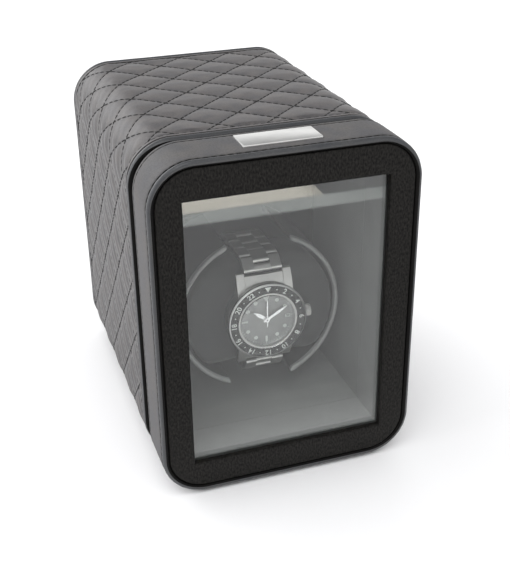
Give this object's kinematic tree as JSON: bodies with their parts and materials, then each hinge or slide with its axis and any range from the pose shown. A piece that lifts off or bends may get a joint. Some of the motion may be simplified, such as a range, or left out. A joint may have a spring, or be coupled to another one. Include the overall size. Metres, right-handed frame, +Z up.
{
  "type": "watch winder box",
  "caption": "Quilted box with a deep glazed door and a geared turning cup that keeps an automatic watch wound on its cushion.",
  "frame": {"origin": "middle of the footprint, on the surface that the feet stand on", "axes": "+Z up, +Y from the door back to the rear panel, +X to the right seen from the front"},
  "size_m": [0.132, 0.182, 0.1753],
  "materials": {
    "body_leather": "soft grey leatherette, quilted and plain",
    "panel_leather": "fine-grained black leatherette",
    "board": "bare fibreboard",
    "lining": "grey suede-like flocking",
    "felt": "black felt",
    "window_glass": "clear float glass",
    "plate": "satin silver, blank",
    "steel": "satin",
    "magnet": "nickel plated",
    "brass": "turned",
    "motor": "zinc plated can",
    "lead": "insulated wire",
    "black_plastic": "moulded",
    "white_plastic": "moulded acetal",
    "circuit": "green solder mask",
    "cup": "dark grey moulded",
    "cup_rim": "light grey band",
    "cushion": "soft black leatherette",
    "watch_steel": "brushed and polished",
    "bezel": "black insert, pale numbers",
    "crystal": "clear",
    "dial": "black dial, pale marks",
    "hands": "polished"
  },
  "bodies": {
    "box": {"body_shell": "board", "quilted_cover": "body_leather", "base_felt": "felt", "feet": "black_plastic", "front_roll": "body_leather", "rear_roll": "body_leather", "door_seal": "lining", "catch_magnets": "magnet", "upper_body_leaf": "steel", "lower_body_leaf": "steel", "hinge_pins": "steel", "body_hinge_screws": "steel", "compartment_lining": "lining", "back_panel": "lining", "gear_plate": "steel", "spacer_pillars": "brass", "bridge_plate": "steel", "drive_screws": "steel", "front_bush": "brass", "rear_bush": "brass", "gearmotor": "motor", "motor_lead": "lead", "rear_panel": "black_plastic", "rear_screws": "steel", "circuit_board": "circuit", "power_inlet": "black_plastic", "rocker_frame": "black_plastic", "selector_switch": "steel", "direction_switch": "steel"},
    "door": {"door_frame": "board", "door_leather": "body_leather", "door_piping": "body_leather", "front_panel": "panel_leather", "door_lining": "lining", "glass_pane": "window_glass", "nameplate": "plate", "strike_plates": "steel", "upper_door_leaf": "steel", "lower_door_leaf": "steel", "door_hinge_screws": "steel"},
    "rotor": {"rotor_cup": "cup", "cup_rim": "cup_rim", "rotor_shaft": "steel", "drive_gear": "white_plastic", "shaft_clip": "steel"},
    "pinion": {"motor_pinion": "white_plastic"},
    "watch_cushion": {"cushion": "cushion", "watch_case": "watch_steel", "watch_crystal": "crystal", "watch_dial": "dial", "watch_bracelet": "watch_steel"},
    "bezel": {"watch_bezel": "bezel"},
    "hour": {"hour_hand": "hands"},
    "minute": {"minute_hand": "hands"},
    "seconds": {"second_hand": "hands"},
    "crown": {"watch_crown": "watch_steel"},
    "rocker": {"power_rocker": "black_plastic"},
    "selector": {"selector_knob": "black_plastic"},
    "slider": {"direction_slider": "white_plastic"}
  },
  "joints": [
    {"name": "door_hinge", "type": "hinge", "parent": "box", "child": "door", "pos_m": [0.0638, -0.05925, 0.088], "axis": [0, 0, 1], "range_deg": [0, 100]},
    {"name": "rotor_spin", "type": "hinge", "parent": "box", "child": "rotor", "pos_m": [0, 0.009, 0.0715], "axis": [0, 1, 0], "continuous": true},
    {"name": "pinion_spin", "type": "hinge", "parent": "box", "child": "pinion", "pos_m": [0, 0.0165, 0.104], "axis": [0, 1, 0], "continuous": true},
    {"name": "cushion_slide", "type": "slide", "parent": "rotor", "child": "watch_cushion", "axis": [0, -1, 0], "range_m": [0, 0.02]},
    {"name": "bezel_turn", "type": "hinge", "parent": "watch_cushion", "child": "bezel", "pos_m": [0, -0.0578, 0.0726], "axis": [0, -1, 0], "continuous": true},
    {"name": "hour_turn", "type": "hinge", "parent": "watch_cushion", "child": "hour", "pos_m": [0, -0.0556, 0.0726], "axis": [0, 1, 0], "continuous": true},
    {"name": "minute_turn", "type": "hinge", "parent": "watch_cushion", "child": "minute", "pos_m": [0, -0.0562, 0.0726], "axis": [0, 1, 0], "continuous": true},
    {"name": "seconds_turn", "type": "hinge", "parent": "watch_cushion", "child": "seconds", "pos_m": [0, -0.0568, 0.0726], "axis": [0, 1, 0], "continuous": true},
    {"name": "crown_turn", "type": "hinge", "parent": "watch_cushion", "child": "crown", "pos_m": [0.0224, -0.0534, 0.0726], "axis": [1, 0, 0], "continuous": true},
    {"name": "power_rocker_press", "type": "hinge", "parent": "box", "child": "rocker", "pos_m": [-0.008, 0.0805, 0.04555], "axis": [-1, 0, 0], "range_deg": [0, 16]},
    {"name": "selector_turn", "type": "hinge", "parent": "box", "child": "selector", "pos_m": [0.028, 0.086, 0.04555], "axis": [0, -1, 0], "range_deg": [-60, 60]},
    {"name": "direction_slide", "type": "slide", "parent": "box", "child": "slider", "axis": [1, 0, 0], "range_m": [-0.0025, 0.0025]}
  ],
  "couplings": [
    {"joint": "pinion_spin", "follows": "rotor_spin", "ratio": -2.8571},
    {"joint": "minute_turn", "follows": "hour_turn", "ratio": 12}
  ]
}
